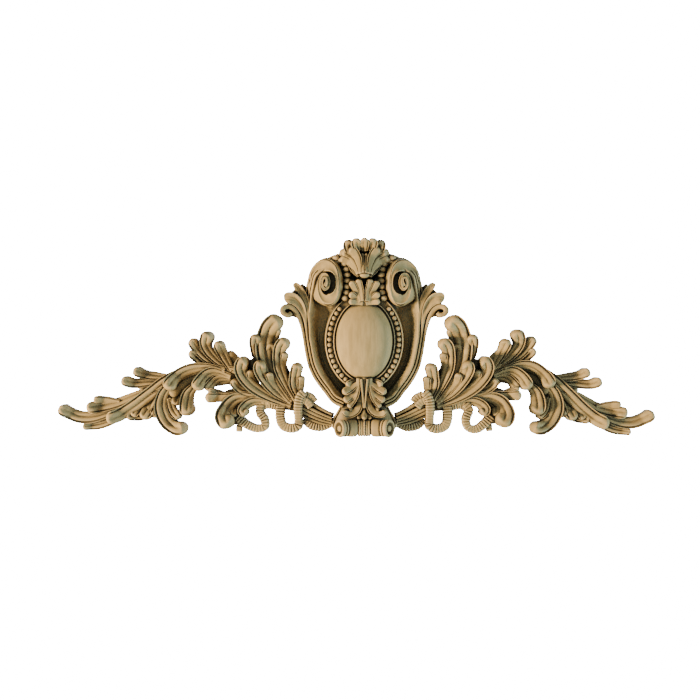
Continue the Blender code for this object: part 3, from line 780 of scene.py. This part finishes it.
for share in FIELD_SHARES:
    distances, rises = [], []
    for a, r, e in zip(angles, outer, inner):
        start = r - RIM_WIDTH * MM
        stop = min(e + FRAME_REACH * MM, start - MM)
        distances.append(start + (stop - start) * share)
        scallop = SCALLOP_RISE * abs(sin(a * SCALLOPS)) * (1 - share) * smooth(share / 0.1)
        cove = COVE_RISE * (1 - smooth(share / 0.75)) * smooth((0.7 - sin(a)) / 0.2)
        dip = FIELD_DIP * sin(pi * share) * smooth((0.6 - sin(a)) / 0.2)
        rises.append(shoulder(a) + scallop + cove - dip)
    ground_ring(distances, rises)
for offset, rise in FRAME_PROFILE:
    inset = RIM_WIDTH + SQUEEZED_GAP - (FRAME_REACH - offset) * SQUEEZED_STEP
    distances = [min(e + offset * MM, r - inset * MM) for e, r in zip(inner, outer)]
    rises = [max(rise * MM, shoulder(a)) if offset > FRAME_FOOT else rise * MM for a in angles]
    ground_ring(distances, rises)
finish_piece("shield_ground", skin(ground_rows), shield_wood)

# %% [markdown]
# The boss is a plain smooth dome, the one quiet surface of the piece. A flattened ball would fall away
# too early, so a fuller profile is spun round the axis through the wall. The round is then squeezed to
# an oval.

# %% Boss
BOSS_EDGE = 26.5 * MM
BOSS_TOP = 46 * MM
BOSS_SUNK = 8 * MM
DOME_STEPS = 24
DOME_SIDES = 160

boss = bmesh.new()
profile = [boss.verts.new((1, BOSS_SUNK - BOSS_EDGE, 0))]
for k in range(DOME_STEPS + 1):
    a = k / DOME_STEPS * pi / 2
    profile.append(boss.verts.new((cos(a) ** 0.95, -BOSS_EDGE - (BOSS_TOP - BOSS_EDGE) * sin(a) ** 0.9, 0)))
edges = [boss.edges.new(pair) for pair in zip(profile, profile[1:])]
bmesh.ops.spin(
    boss, geom=profile + edges, cent=(0, 0, 0), axis=(0, 1, 0), angle=2 * pi, steps=DOME_SIDES,
    use_merge=True
)
bmesh.ops.remove_doubles(boss, verts=boss.verts, dist=1e-6)
bmesh.ops.scale(boss, verts=boss.verts, vec=(BOSS_HALF_WIDTH, 1, BOSS_HALF_HEIGHT))
bmesh.ops.holes_fill(boss, edges=[e for e in boss.edges if e.is_boundary], sides=0)
bmesh.ops.recalc_face_normals(boss, faces=boss.faces)
finish_piece("boss", boss, shield_wood)

# %% [markdown]
# A row of beads lies in the channel round the boss, between a thin fillet and the frame's rim, and stops
# where the crest and the apron cover it. On the real piece each is cut with a hollow punch, so they are
# true half rounds at one pitch. Here they are balls sunk in the channel. The pitch is walked along the
# oval, because equal angles would crowd them at its ends.

# %% Bead row
BEAD_OFFSET = 9.7 * MM
BEAD_DIAMETER = 7.0 * MM
BEAD_PITCH = 8.1 * MM
BEAD_TOP = 30.5 * MM
BEAD_FROM = radians(-58)
BEAD_TO = radians(52)

beads = bmesh.new()
across, up = BOSS_HALF_WIDTH + BEAD_OFFSET, BOSS_HALF_HEIGHT + BEAD_OFFSET
for side in (1, -1):
    angle = BEAD_FROM
    while angle < BEAD_TO:
        ball = bmesh.ops.create_icosphere(beads, subdivisions=3, radius=BEAD_DIAMETER / 2)["verts"]
        spot = (side * across * cos(angle), BEAD_DIAMETER / 2 - BEAD_TOP, up * sin(angle))
        bmesh.ops.translate(beads, verts=ball, vec=spot)
        angle += BEAD_PITCH / hypot(across * sin(angle), up * cos(angle))
finish_piece("bead_rows", beads, shield_wood)

# %% [markdown]
# The border. Three ribs run up each side of the shield, and where the shield is widest they flare out
# into an ear: the outer rib ends in a small scroll, the middle one in a broad hollow leaf, and the inner
# one in a thin leaf behind. A rib and its leaf were cut in one go, so each is one sweep from the foot to
# the end of its ear, through stations that also set its width and rise.

# %% Border ribs and ears
# Each rib: how far in from the outline, its half width and rise, its share of fluting, and then the
# stations of its ear as (across, up, half width, rise) in mm
RIBS = [
    (
        (2.6, 2.6, 24.5, 0.0),
        [
            (92.5, 23, 3.0, 25), (97, 36, 3.6, 26.5), (103, 45.5, 4.0, 29), (110.5, 50.5, 4.2, 31),
            (118, 49, 4.1, 34), (120.5, 43.5, 3.9, 35), (117, 38.8, 3.6, 35), (111, 38.2, 3.2, 34),
            (107.5, 41.5, 2.8, 31),
        ],
    ),
    (
        (7.6, 1.5, 26.5, 1.0),
        [
            (86, 25, 2.4, 26.5), (89, 40, 4.4, 27.5), (94.5, 52, 6.8, 29.5), (102, 60, 8.6, 32),
            (109, 63, 9.0, 34), (114.5, 63.2, 8.0, 33), (117.5, 62.8, 5.0, 30), (118.6, 62.6, 2.2, 26),
        ],
    ),
    (
        (12.2, 1.8, 28.5, 0.8),
        [
            (80, 24, 2.2, 27.5), (82, 42, 3.4, 26.5), (86.5, 60, 5.0, 26), (93.5, 73, 5.8, 26),
            (99.5, 80.5, 5.4, 28), (102.8, 84, 3.6, 27), (103.8, 85.2, 1.6, 24),
        ],
    ),
]
# Low wood behind the leaves of an ear, in the same stations
EAR_GROUND = [
    [(86, 14, 3, 11), (89, 32, 7, 13), (97, 48, 11, 15), (106, 57, 15, 17), (112, 60, 15, 17)],
    [(98, 36, 3, 12), (106, 43, 7, 15), (112, 44, 7.5, 16), (117, 45, 6.5, 15)],
    [(88, 48, 3, 12), (95, 62, 8, 15), (101, 70, 8, 17), (105, 75, 6, 17)],
    [(86, 70, 3, 12), (91, 78, 5, 15), (95, 83, 4, 15)],
]
print("ribs on each side:", len(RIBS), "and low pieces behind an ear:", len(EAR_GROUND))

# %% Tapered bands
ROUND_ACROSS = (-1.0, -0.96, -0.86, -0.70, -0.52, -0.34, -0.16, 0.0, 0.16, 0.34, 0.52, 0.70, 0.86, 0.96, 1.0)
ROUND_DROP = (1.6, 0.80, 0.42, 0.22, 0.10, 0.04, 0.01, 0.0, 0.01, 0.04, 0.10, 0.22, 0.42, 0.80, 1.6)
FLUTED_DROP = (1.6, 0.62, 0.20, 0.34, 0.24, 0.42, 0.56, 0.50, 0.62, 0.66, 0.46, 0.28, 0.04, 0.26, 1.6)
STATION_STEP = 1.2 * MM
FLUTE_FROM = 2 * MM
FLUTE_FULL = 6 * MM


def in_metres(side, stations):
    """Stations in mm as vectors in metres, on the right for side 1 and mirrored for side -1."""
    return [Vector((side * x, z, half, rise)) * MM for x, z, half, rise in stations]


def at_station(stations, t, near):
    """The station at t on the smooth curve, and the direction there, read a share near to each side."""
    ahead = on_curve(stations, min(t + near, 1)) - on_curve(stations, max(t - near, 0))
    return on_curve(stations, t), ahead.xy.normalized()


def tapered_band(whole, stations, cove):
    """A sweep through stations of (across, up, half width, rise), rounded, or fluted by the cove share."""
    back = back_depth()
    turn = 1 if stations[0].x < 0 else -1
    count = max(8, round(sum((b - a).length for a, b in zip(stations, stations[1:])) / STATION_STEP))
    rows = []
    for k in range(count + 1):
        here, direction = at_station(stations, k / count, 0.004)
        half, rise = here.z, here.w
        reach = Vector((direction.y, -direction.x)) * turn * half
        fluted = cove * smooth((half - FLUTE_FROM) / (FLUTE_FULL - FLUTE_FROM))
        section = []
        for u, plain_drop, cove_drop in zip(ROUND_ACROSS, ROUND_DROP, FLUTED_DROP):
            depth = (plain_drop + (cove_drop - plain_drop) * fluted) * half
            section.append((u, max(rise - depth, back + LOWEST_EDGE)))
        rows.append(ring(here.xy, reach, back, section))
    add_to(whole, skin(rows))


print("a rounded section has", len(ROUND_ACROSS), "points")

# %% Carve the border
RIB_FROM = radians(-72)
RIB_TO = radians(4)
RIB_PARTS = 8


def rib_stations(inset, half, rise):
    """A rib's own stations in mm, up the right side of the shield to where its ear starts."""
    stations = []
    for k in range(RIB_PARTS + 1):
        a = RIB_FROM + (RIB_TO - RIB_FROM) * k / RIB_PARTS
        r = panel_radius(a) / MM - inset
        stations.append((r * cos(a), r * sin(a), half, rise))
    return stations


border = bmesh.new()
for side in (1, -1):
    for (inset, half, rise, cove), ear in RIBS:
        tapered_band(border, in_metres(side, rib_stations(inset, half, rise) + ear), cove)
    for low_piece in EAR_GROUND:
        tapered_band(border, in_metres(side, low_piece), 0)
finish_piece("border_and_ears", border, shield_wood)

# %% [markdown]
# The volutes. Each is a drum whose face slopes out to the shield's edge. A scrolled band comes over the
# top, runs down the inner side, turns round the foot and winds up into a coil that rises to its eye.
# Between the coil and the band the face is cut away. The drum is a skin of rings and the band a sweep, so
# that the band can thin out and rise as it winds. Rounded leaf tips run down the inner flank.

# %% Drums
# Rings of the drum: shares of its half width and half height, and its rise on the inner and outer side
DRUM = [
    (0.60, 0.70, 29, 26),
    (0.86, 0.90, 29, 26),
    (0.94, 0.96, 31, 27),
    (0.97, 0.985, 43, 32.5),
    (1.00, 1.00, 44.5, 33.5),
    (1.06, 1.015, 43.6, 32.8),
    (1.16, 1.035, 42, 31.0),
    (1.30, 1.06, 39, 28.8),
    (1.38, 1.075, 36, 27.6),
    (1.50, 1.09, 30, 26.2),
    (1.72, 1.125, 28, 24.2),
    (1.90, 1.155, 26, 23.4),
    (1.98, 1.165, 20, 19),
    (1.98, 1.165, 0.4, 0.4),
]
DRUM_HALF_WIDTH = 16 * MM
DRUM_HALF_HEIGHT = 33.5 * MM
DRUM_CENTRE = (52.6 * MM, 84.5 * MM)
DRUM_SIDES = 96
INNER_FLARE = 0.38


def drum(side):
    """The body of one volute, flared and lowered on the side of the shield's edge."""
    rows = []
    for outward, upward, inner_rise, outer_rise in reversed(DRUM):
        circle = []
        for k in range(DRUM_SIDES):
            a = 2 * pi * k / DRUM_SIDES
            # Outside is 1 towards the shield's edge and 0 on the inner flank
            outside = smooth(0.45 + 0.8 * cos(a - 0.5))
            flare = outward
            if outward > 1:
                flare = 1 + (outward - 1) * outside + min(outward - 1, INNER_FLARE) * (1 - outside)
            lift = 1 + (upward - 1) * smooth(0.5 + sin(a)) if upward > 1 else upward
            x = DRUM_CENTRE[0] + DRUM_HALF_WIDTH * cos(a) * flare
            z = DRUM_CENTRE[1] + DRUM_HALF_HEIGHT * sin(a) * lift
            rise = inner_rise + (outer_rise - inner_rise) * smooth(0.5 + 0.6 * cos(a))
            circle.append(Vector((side * x, -rise * MM, z)))
        rows.append(circle)
    return skin(rows)


volutes = bmesh.new()
for side in (1, -1):
    add_to(volutes, drum(side))
print("both drums have", len(volutes.faces), "faces")

# %% Scrolled bands
# The band's stations as (across, up, half width, rise), in mm
SCROLL = [
    (76, 88, 4, 28),
    (73, 98, 7, 30.5),
    (67, 106, 8.6, 34.5),
    (59, 109.5, 8.8, 38.5),
    (51, 108, 7.6, 42.5),
    (44.8, 103, 4.8, 45.5),
    (41.0, 95.5, 2.6, 46.5),
    (39.4, 86, 2.0, 46.8),
    (39.8, 76.5, 2.3, 46.5),
    (42.5, 68, 4.6, 45.5),
    (48.5, 61.6, 7.6, 43),
    (56, 60.8, 7.0, 40.5),
    (62, 65.5, 4.6, 39),
    (65.5, 73, 2.9, 39),
    (66.4, 82, 2.3, 40),
    (65.0, 90.5, 2.2, 41.5),
    (61, 96.2, 2.2, 43.5),
    (56.3, 96.0, 2.2, 45.5),
    (52.9, 91, 2.1, 47),
    (52.0, 84.0, 2.1, 48),
    (53.6, 77.4, 2.0, 49),
    (57.6, 74.8, 1.9, 50),
    (61.2, 78.6, 1.8, 51),
    (61.6, 85.5, 1.7, 52),
    (59.2, 91.0, 1.5, 53),
    (56.0, 90.0, 1.4, 53.5),
    (55.2, 86.0, 1.5, 53.5),
    (56.2, 81.5, 2.4, 53),
    (57.6, 79.0, 2.4, 52),
]
BAND_ACROSS = (-1.0, -0.97, -0.88, -0.74, -0.6, -0.2, 0.2, 0.6, 0.74, 0.88, 0.97, 1.0)
BAND_DROP = (3.0, 1.1, 0.15, 0.1, 0.7, 1.2, 1.2, 0.7, 0.1, 0.15, 1.1, 3.0)
BAND_BACK = 22 * MM
BAND_PARTS = 240
FULL_DROP = 4 * MM


def scrolled_band(side):
    """The band of one volute: a flat face between two thin beads, which die out as it narrows."""
    stations = in_metres(side, SCROLL)
    rows = []
    for k in range(BAND_PARTS + 1):
        here, direction = at_station(stations, k / BAND_PARTS, 0.003)
        reach = Vector((direction.y, -direction.x)) * here.z
        depth = min(1, here.z / FULL_DROP) * MM
        section = [(u, here.w - drop * depth) for u, drop in zip(BAND_ACROSS, BAND_DROP)]
        rows.append(ring(here.xy, reach, BAND_BACK, section))
    return skin(rows)


for side in (1, -1):
    add_to(volutes, scrolled_band(side))
print("with their bands", len(volutes.faces), "faces")

# %% Leaf tips of the flank
# Centres as (across, up) in mm
TEETH = [
    (41.0, 121), (34.0, 118), (29.0, 112.5), (26.1, 104.8), (24.9, 96.3),
    (24.7, 87.6), (25.1, 79), (25.9, 70.6), (28.1, 62.6),
]
TOOTH_RADIUS = 5.0 * MM
TOOTH_STRETCH = (1.15, 1.3, 0.92)
TOOTH_RISE = 34 * MM

for side in (1, -1):
    for x, z in TEETH:
        tooth = bmesh.ops.create_uvsphere(volutes, u_segments=20, v_segments=12, radius=TOOTH_RADIUS)["verts"]
        bmesh.ops.scale(volutes, verts=tooth, vec=TOOTH_STRETCH)
        bmesh.ops.translate(volutes, verts=tooth, vec=(side * x * MM, -TOOTH_RISE, z * MM))
finish_piece("volutes", volutes, shield_wood)

# %% [markdown]
# Leaf work on the shield: the crest that breaks forward over the volutes, the palmette below it, and the
# apron of two leaves under the boss. Each is a low body with fingers swept over it. They use the same
# finger as the sprays, drawn straight in mm, because one hand cut them all with the same gouges.

# %% Crest
# Fingers as in the sprays, but in mm: points, widths and rises
CREST_MIDDLE = [([(0, 130), (0, 139), (0, 148.7)], (10, 14, 12), (50, 63))]
CREST_BACK = [
    ([(0, 84), (0, 108), (0, 145)], (30, 60, 52), (28, 36)),
    ([(10, 102), (20, 114), (37, 125)], (12, 22, 15), (30, 36)),
    ([(12, 108), (22, 120), (35, 134)], (14, 24, 14), (30, 38)),
]
CREST = [
    ([(8, 94), (12, 98), (17.5, 106), (22.5, 116)], (5, 9, 8), (48, 40)),
    ([(9, 97), (14, 107), (22, 115), (36, 121)], (6, 12, 11), (54, 40)),
    ([(8, 97), (11, 112), (19, 124), (33, 131)], (6, 14, 13), (58, 43)),
    ([(5.8, 97), (8, 113), (12, 125), (21.5, 136)], (4, 11, 13), (59, 50)),
    ([(2.2, 98), (2.4, 112), (2.8, 127)], (3.6, 5.0, 3.8), (61, 50)),
    ([(21, 127), (23, 137.5), (20, 147)], (12, 17, 17), (46, 50)),
    ([(10, 130), (12, 139), (9.5, 148.4)], (10, 15, 15), (50, 60)),
]
BUD_RADIUS = 6 * MM
BUD_STRETCH = (1.15, 1, 0.72)
BUD_PLACE = (0, -52 * MM, 95 * MM)
print("crest fingers on each side:", len(CREST))

# %% Palmette
PALMETTE_BACK = [([(0, 52), (0, 66), (0, 86)], (36, 44, 34), (33, 35))]
PALMETTE = [
    ([(2, 55), (12, 57), (23, 57)], (8, 9, 9), (40, 42)),
    ([(6, 57), (13, 63), (22, 69.5)], (5, 10, 10), (41, 45)),
    ([(5, 58), (11, 71), (20, 87)], (4, 9, 10), (43, 47)),
    ([(2.6, 58), (4.6, 72), (9.5, 90)], (4, 8.5, 10), (45, 48)),
]
print("palmette fingers on each side:", len(PALMETTE))


# %% Carve the crest and palmette
def shield_leaf(whole, fingers, side=1, **cut):
    """Adds a leaf that is drawn in mm on the shield: side is 1 on the right and -1 on the left."""
    leaf(whole, fingers, lambda x, z: (side * x * MM, z * MM), MM, MM, **cut)


crest = bmesh.new()
shield_leaf(crest, CREST_MIDDLE)
shield_leaf(crest, PALMETTE_BACK, gouge=0, curl=0.42)
bud = bmesh.ops.create_uvsphere(crest, u_segments=24, v_segments=16, radius=BUD_RADIUS)["verts"]
bmesh.ops.scale(crest, verts=bud, vec=BUD_STRETCH)
bmesh.ops.translate(crest, verts=bud, vec=BUD_PLACE)
for side in (1, -1):
    shield_leaf(crest, CREST_BACK, side, gouge=0, curl=0.3)
    shield_leaf(crest, CREST, side)
    shield_leaf(crest, PALMETTE, side)
finish_piece("crest_and_palmette", crest, shield_wood)

# %% Apron
APRON_BACK = [([(0, -50), (0, -76), (0, -100)], (44, 48, 30), (22, 24))]
APRON = [
    ([(4, -70), (5.5, -88), (10.5, -102), (20, -108), (28, -106.5), (30, -101)], (5, 11, 9), (30, 36)),
    ([(7, -94), (14, -101), (23, -101)], (4, 7, 7), (27, 30)),
    ([(8, -59), (13, -60), (20, -62), (27, -66)], (5, 10, 10), (31, 36)),
    ([(9, -62), (16, -67), (24, -72), (32, -77)], (6, 12, 11), (37, 40)),
    ([(10, -72), (17, -79), (23, -84), (30, -89)], (6, 11, 10), (36, 38)),
    ([(8.5, -55), (9.5, -67), (13.5, -82), (20, -93), (25, -96)], (6, 9.5, 8), (38, 38)),
]
APRON_STEM = [([(4.6, -56), (3.0, -74), (0.6, -99)], (3.0, 2.8, 2.4), (40, 34))]
APRON_FLUTE = [([(0, -54), (0, -74), (0, -97)], (9, 6, 2.5), (36, 31))]
APRON_TONGUE = [([(0, -101), (0, -108), (0, -116)], (3, 8, 7), (31, 37))]
APRON_SIDE_TONGUE = [([(1, -106), (5, -111), (11, -114)], (3, 6, 5), (30, 33))]

apron = bmesh.new()
shield_leaf(apron, APRON_BACK, gouge=0)
shield_leaf(apron, APRON_FLUTE, gouge=0, curl=0)
shield_leaf(apron, APRON_TONGUE, gouge=0.4)
for side in (1, -1):
    shield_leaf(apron, APRON, side)
    shield_leaf(apron, APRON_STEM, side, gouge=0, curl=0)
    shield_leaf(apron, APRON_SIDE_TONGUE, side, gouge=0.4)
finish_piece("apron", apron, shield_wood)

# %% [markdown]
# The foot: a flared neck, and the rolled base, which bows forward from a beaded middle to an eye at each
# end. A straight roll could be turned on a lathe, but this one is bent, so it is one skin of rings round
# a bent axis. Its bands are changes of radius along the way, and its eyes are rings that step inwards.

# %% Rolled base
BASE_RADIUS = 13.2 * MM
BASE_LINE = -128.2 * MM
BASE_MIDDLE_RISE = 27 * MM
BASE_END_RISE = 40 * MM
BASE_SWING = radians(35.2)
BASE_STRETCH = 1.16
# Stations from the middle to the end of the roll: how far out in mm, and the share of the radius
BASE_BANDS = [
    (0.0, 0.97), (1.0, 0.96), (1.5, 0.90), (1.9, 0.93), (3.2, 0.98), (4.5, 0.93), (4.9, 0.90), (5.4, 0.94),
    (6.6, 0.98), (7.8, 0.93), (8.2, 0.78), (9.4, 0.78), (9.9, 0.92), (11.5, 0.97), (15.5, 1.00), (19.5, 0.98),
    (21.6, 0.93), (21.9, 0.78), (23.0, 0.78), (23.3, 0.92), (24.6, 0.97), (25.8, 0.93), (26.1, 0.80),
    (27.0, 0.80), (27.3, 0.94), (29.5, 1.00), (31.6, 0.98), (32.6, 0.92),
]
# Rings of an eye in mm: how far in from the end, and the radius
EYE_RINGS = [
    (0.0, 11.6), (-0.4, 10.6), (0.2, 9.6), (2.0, 9.0), (8.0, 8.2), (8.6, 6.6), (8.0, 5.2), (2.4, 4.6),
    (0.6, 3.7), (0.1, 1.8), (0.0, 0.5),
]
ROLL_SIDES = 72

half_roll = []
for out, radius in BASE_BANDS:
    share = out / BASE_BANDS[-1][0]
    rise = BASE_MIDDLE_RISE + (BASE_END_RISE - BASE_MIDDLE_RISE) * share**2.2
    half_roll.append((out * BASE_STRETCH * MM, rise, BASE_SWING * share**1.3, radius * BASE_RADIUS))
x, rise, tilt, _ = half_roll[-1]
for depth, radius in EYE_RINGS:
    half_roll.append((x - depth * MM * cos(tilt), rise - depth * MM * sin(tilt), tilt, radius * MM))

rows = []
other_half = [(-x, rise, -tilt, r) for x, rise, tilt, r in reversed(half_roll)]
for x, rise, tilt, radius in other_half + half_roll[1:]:
    circle = []
    for k in range(ROLL_SIDES):
        a = 2 * pi * k / ROLL_SIDES
        out, up = cos(a) * radius, sin(a) * radius
        circle.append(Vector((x - out * sin(tilt), -rise - out * cos(tilt), BASE_LINE + up)))
    rows.append(circle)
foot = skin(rows)
print("rolled base has", len(rows), "rings")

# %% Beads of the midrib
MIDRIB_BEADS = 13
MIDRIB_SPREAD = radians(124)
MIDRIB_BEAD_RADIUS = 1.3 * MM
MIDRIB_RADIUS = BASE_BANDS[0][1] * BASE_RADIUS

for k in range(MIDRIB_BEADS):
    a = MIDRIB_SPREAD * (k / (MIDRIB_BEADS - 1) - 0.5)
    ball = bmesh.ops.create_icosphere(foot, subdivisions=2, radius=MIDRIB_BEAD_RADIUS)["verts"]
    spot = (0, -BASE_MIDDLE_RISE - cos(a) * MIDRIB_RADIUS, BASE_LINE + sin(a) * MIDRIB_RADIUS)
    bmesh.ops.translate(foot, verts=ball, vec=spot)
print("midrib beads stand", round(MIDRIB_RADIUS / MM, 1), "mm from the axis of the roll")

# %% Neck
# The outline of the right side as (across, up) in mm
NECK_SIDES = [(31.5, -86), (35.5, -96), (40.5, -105), (45.5, -113), (48.8, -121), (48.9, -127), (43, -134)]
# From the side to the middle: share of the way across, and rise in mm
NECK_PROFILE = [
    (1.0, 0.3), (1.0, 17), (0.985, 20), (0.955, 20.6), (0.925, 20), (0.915, 18.4), (0.89, 18.4),
    (0.88, 19.6), (0.5, 20.4), (0, 20.4),
]

rows = []
for x, z in NECK_SIDES:
    right = [Vector((x * share, -rise, z)) * MM for share, rise in NECK_PROFILE]
    left = [Vector((-p.x, p.y, p.z)) for p in reversed(right[:-1])]
    rows.append(right + left)
add_to(foot, skin(rows))
finish_piece("neck_and_rolled_base", foot, shield_wood)
